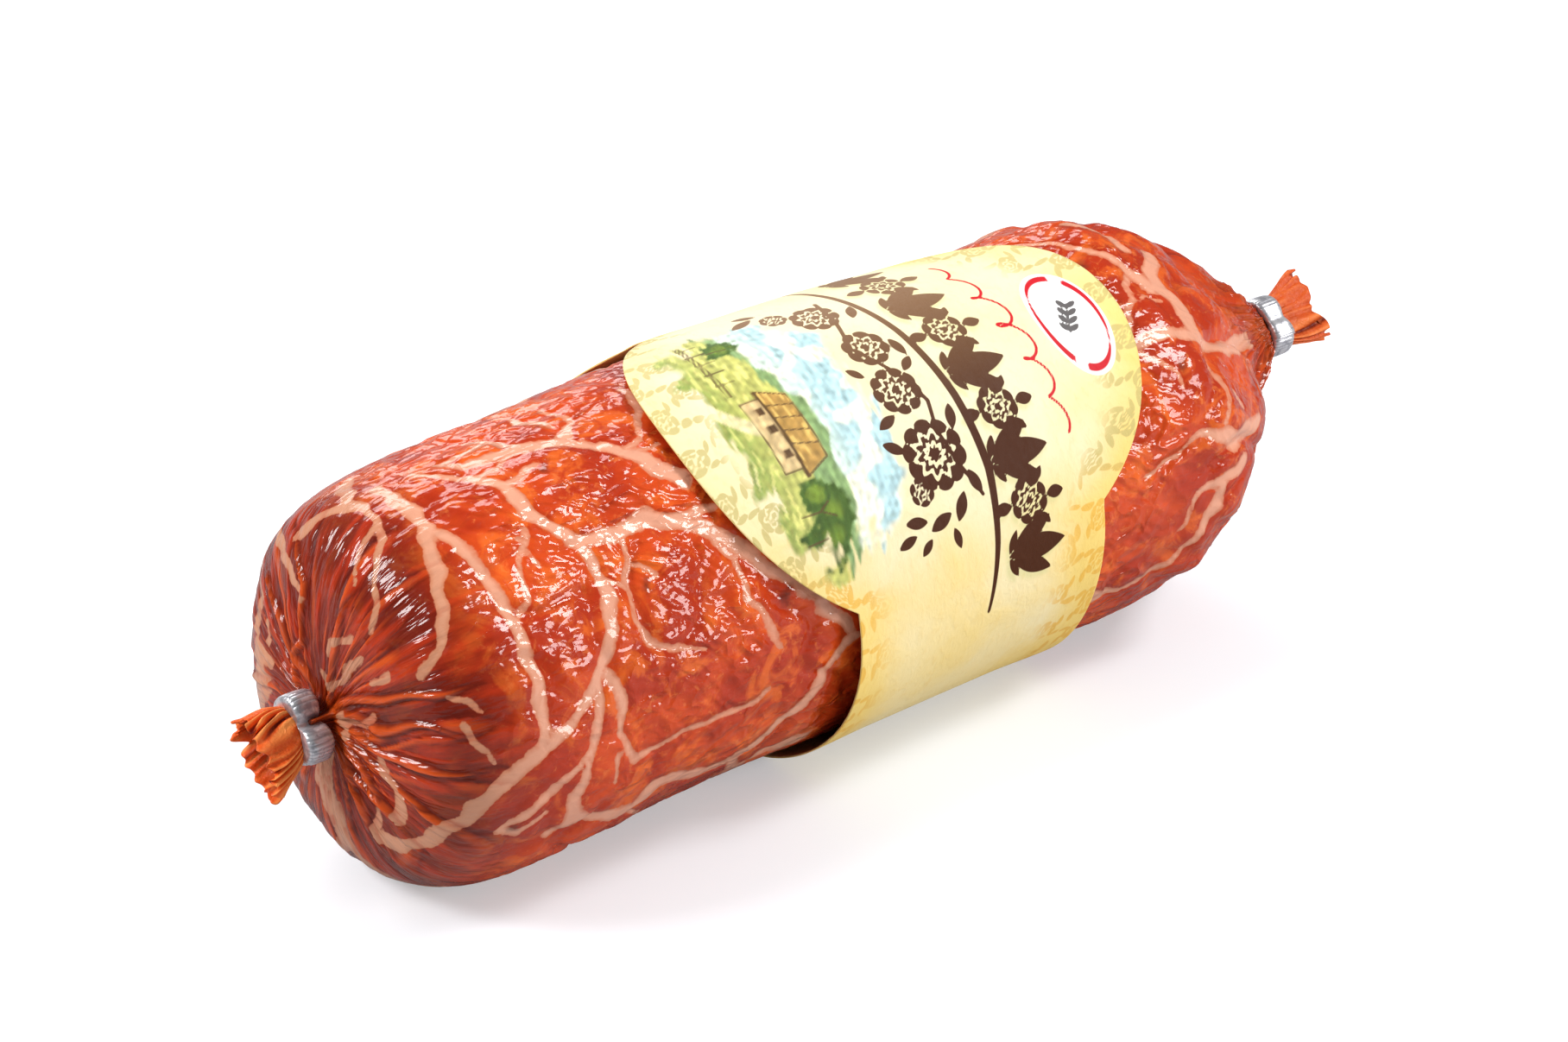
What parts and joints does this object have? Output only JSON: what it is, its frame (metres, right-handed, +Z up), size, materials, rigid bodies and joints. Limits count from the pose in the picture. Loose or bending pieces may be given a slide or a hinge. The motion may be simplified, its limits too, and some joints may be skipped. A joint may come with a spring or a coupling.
{
  "type": "cured sausage",
  "caption": "Cured sausage in a printed casing gathered and shut by a crimped metal clip at each end, with a paper label wrapped round its middle.",
  "frame": {"origin": "under the middle of the whole object, on the surface it lies on", "axes": "+X along the sausage from the blunt near end to the tapered far end, +Y to the back, +Z up"},
  "size_m": [0.2594, 0.0852, 0.081],
  "materials": {
    "casing": "glossy printed film over lumpy meat",
    "paper": "matt printed paper",
    "clip": "bright crimped wire"
  },
  "bodies": {
    "root": {"sausage": "casing", "paper_label": "paper", "near_clip": "clip", "far_clip": "clip"}
  },
  "joints": []
}
